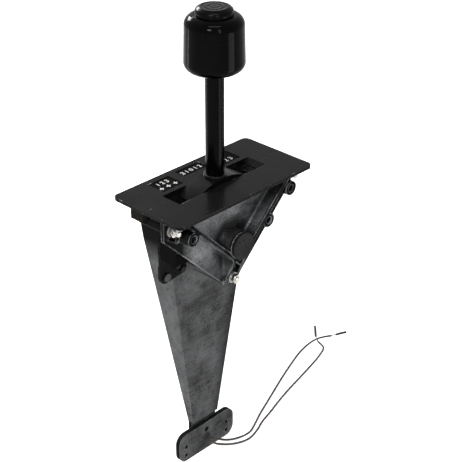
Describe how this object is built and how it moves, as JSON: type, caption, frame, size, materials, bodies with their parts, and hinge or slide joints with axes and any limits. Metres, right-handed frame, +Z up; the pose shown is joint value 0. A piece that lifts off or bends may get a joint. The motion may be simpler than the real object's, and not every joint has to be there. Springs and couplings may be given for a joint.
{
  "type": "single lever throttle control",
  "caption": "Console-mount single lever throttle control: split cover plate, upright lever with push-button knob, V-shaped cast housing, cable channel and neutral switch leads.",
  "frame": {"origin": "on the lever's axis at rest, in the plane of the cover plate's underside, where it lies on the console", "axes": "+Z up the lever, +X along the cover plate in the lever's direction of travel, -Y towards the face with the pivot boss"},
  "size_m": [0.3264, 0.1147, 0.4443],
  "materials": {
    "black_coat": "satin black powder coat",
    "knob_black": "gloss moulded",
    "casting": "raw die casting",
    "zinc": "bright zinc plate",
    "steel": "ground steel",
    "brass": "turned brass",
    "black_plastic": "moulded",
    "legend_black": "printed insert",
    "fibre": "pressed fibre",
    "rubber": "moulded",
    "lead_sleeve": "extruded insulation"
  },
  "bodies": {
    "root": {"front_housing": "casting", "rear_housing": "casting", "top_plate_front": "black_coat", "top_plate_rear": "black_coat", "legend_left": "legend_black", "legend_middle": "legend_black", "legend_right": "legend_black", "plate_screws": "zinc", "end_packing": "fibre", "pivot_cap": "casting", "front_bush": "brass", "rear_bush": "brass", "friction_washer": "fibre", "thrust_washer": "brass", "corner_bolts": "zinc", "corner_nuts": "zinc", "corner_washers": "zinc", "lower_bolt": "zinc", "lower_nut": "zinc", "lower_washers": "zinc", "detent_leaf": "steel", "detent_screw": "zinc", "switch_body": "black_plastic", "switch_bracket": "casting", "switch_screws": "zinc", "bracket_screws": "zinc", "lead_screw": "zinc", "lead_nut": "zinc", "wire_grommet": "rubber", "lead_one": "lead_sleeve", "lead_two": "lead_sleeve"},
    "lever": {"lever_hub": "casting", "hub_pin": "steel", "pivot_shaft": "steel", "throttle_arm": "zinc", "arm_washer": "zinc", "arm_nut": "zinc", "lever_tube": "black_coat", "tube_washer": "steel", "slot_dome": "black_coat", "neck_collar": "knob_black", "knob_bush": "brass", "knob": "knob_black", "button_spring": "steel"},
    "button": {"release_button": "knob_black", "release_rod": "steel"},
    "switch_arm": {"switch_arm": "steel"},
    "plunger": {"switch_plunger": "black_plastic"},
    "swivel": {"cable_swivel": "brass"}
  },
  "joints": [
    {"name": "lever_swing", "type": "hinge", "parent": "root", "child": "lever", "pos_m": [0, 0, -0.048], "axis": [0, 1, 0], "range_deg": [-35, 35], "deforming": ["detent_leaf"]},
    {"name": "button_press", "type": "slide", "parent": "lever", "child": "button", "axis": [0, 0, -1], "range_m": [0, 0.004], "stiffness_N_per_m": 900, "springref_m": -0.003, "deforming": ["button_spring"]},
    {"name": "switch_arm_swing", "type": "hinge", "parent": "root", "child": "switch_arm", "pos_m": [-0.0336, -0.0035, -0.0375], "axis": [0, 1, 0], "range_deg": [0, 6], "stiffness_Nm_per_rad": 0.05, "springref_deg": -5.73},
    {"name": "plunger_press", "type": "slide", "parent": "root", "child": "plunger", "axis": [-1, 0, 0], "range_m": [0, 0.0006]},
    {"name": "swivel_turn", "type": "hinge", "parent": "lever", "child": "swivel", "pos_m": [0, 0.0265, -0.093], "axis": [0, 1, 0], "range_deg": [-45, 45]}
  ],
  "couplings": [
    {"joint": "plunger_press", "follows": "switch_arm_swing", "m_per_rad": 0.0055}
  ]
}
